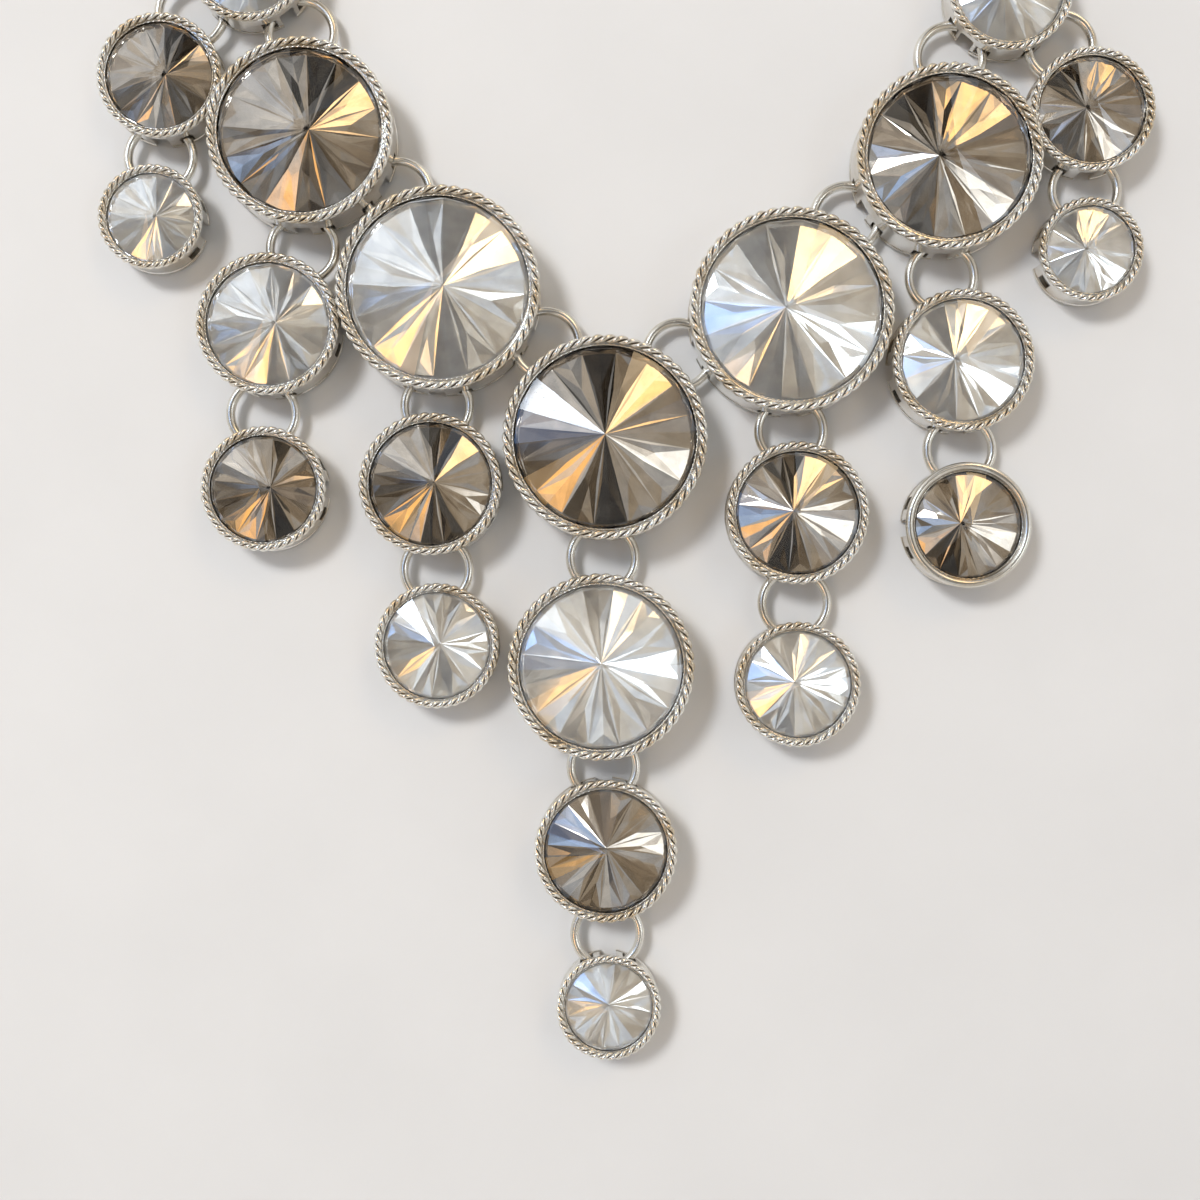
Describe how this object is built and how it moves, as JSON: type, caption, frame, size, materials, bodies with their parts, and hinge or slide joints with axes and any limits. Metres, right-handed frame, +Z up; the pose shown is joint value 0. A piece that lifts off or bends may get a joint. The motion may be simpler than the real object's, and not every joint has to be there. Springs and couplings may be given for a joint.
{
  "type": "bib necklace",
  "caption": "Bib necklace of round pointed crystals, clear and smoky, in deep roped silver cups joined by round wire rings, with hanging drops and a plain cable chain and clasp.",
  "frame": {"origin": "middle of the whole footprint, on the surface that the necklace lies on", "axes": "+Z up through the faces of the stones, +Y from the tip of the middle drop towards the clasp, +X towards the right-hand side seen from above"},
  "size_m": [0.1572, 0.2742, 0.0116],
  "materials": {
    "silver": "polished",
    "clear_crystal": "polished",
    "smoky_crystal": "polished"
  },
  "bodies": {
    "root": {"centre_0_cup": "silver", "centre_0_stone": "smoky_crystal", "centre_1_cup": "silver", "centre_1_stone": "clear_crystal", "centre_2_cup": "silver", "centre_2_stone": "smoky_crystal", "centre_3_cup": "silver", "centre_3_stone": "clear_crystal", "chain_left": "silver", "chain_right": "silver", "clasp": "silver", "left_1_cup": "silver", "left_1_stone": "clear_crystal", "left_1a_cup": "silver", "left_1a_stone": "smoky_crystal", "left_1b_cup": "silver", "left_1b_stone": "clear_crystal", "left_2_cup": "silver", "left_2_stone": "smoky_crystal", "left_2a_cup": "silver", "left_2a_stone": "clear_crystal", "left_2b_cup": "silver", "left_2b_stone": "smoky_crystal", "left_3_cup": "silver", "left_3_stone": "clear_crystal", "link_centre_0_centre_1": "silver", "link_centre_0_left_1": "silver", "link_centre_0_right_1": "silver", "link_centre_1_centre_2": "silver", "link_centre_2_centre_3": "silver", "link_left_1_left_1a": "silver", "link_left_1_left_2": "silver", "link_left_1a_left_1b": "silver", "link_left_2_left_2a": "silver", "link_left_2_left_3": "silver", "link_left_2a_left_2b": "silver", "link_right_1_right_1a": "silver", "link_right_1_right_2": "silver", "link_right_1a_right_1b": "silver", "link_right_2_right_2a": "silver", "link_right_2_right_3": "silver", "link_right_2a_right_2b": "silver", "outer_drop_left": "silver", "outer_drop_right": "silver", "right_1_cup": "silver", "right_1_stone": "clear_crystal", "right_1a_cup": "silver", "right_1a_stone": "smoky_crystal", "right_1b_cup": "silver", "right_1b_stone": "clear_crystal", "right_2_cup": "silver", "right_2_stone": "smoky_crystal", "right_2a_cup": "silver", "right_2a_stone": "clear_crystal", "right_2b_cup": "silver", "right_2b_stone": "smoky_crystal", "right_3_cup": "silver", "right_3_stone": "clear_crystal"}
  },
  "joints": []
}
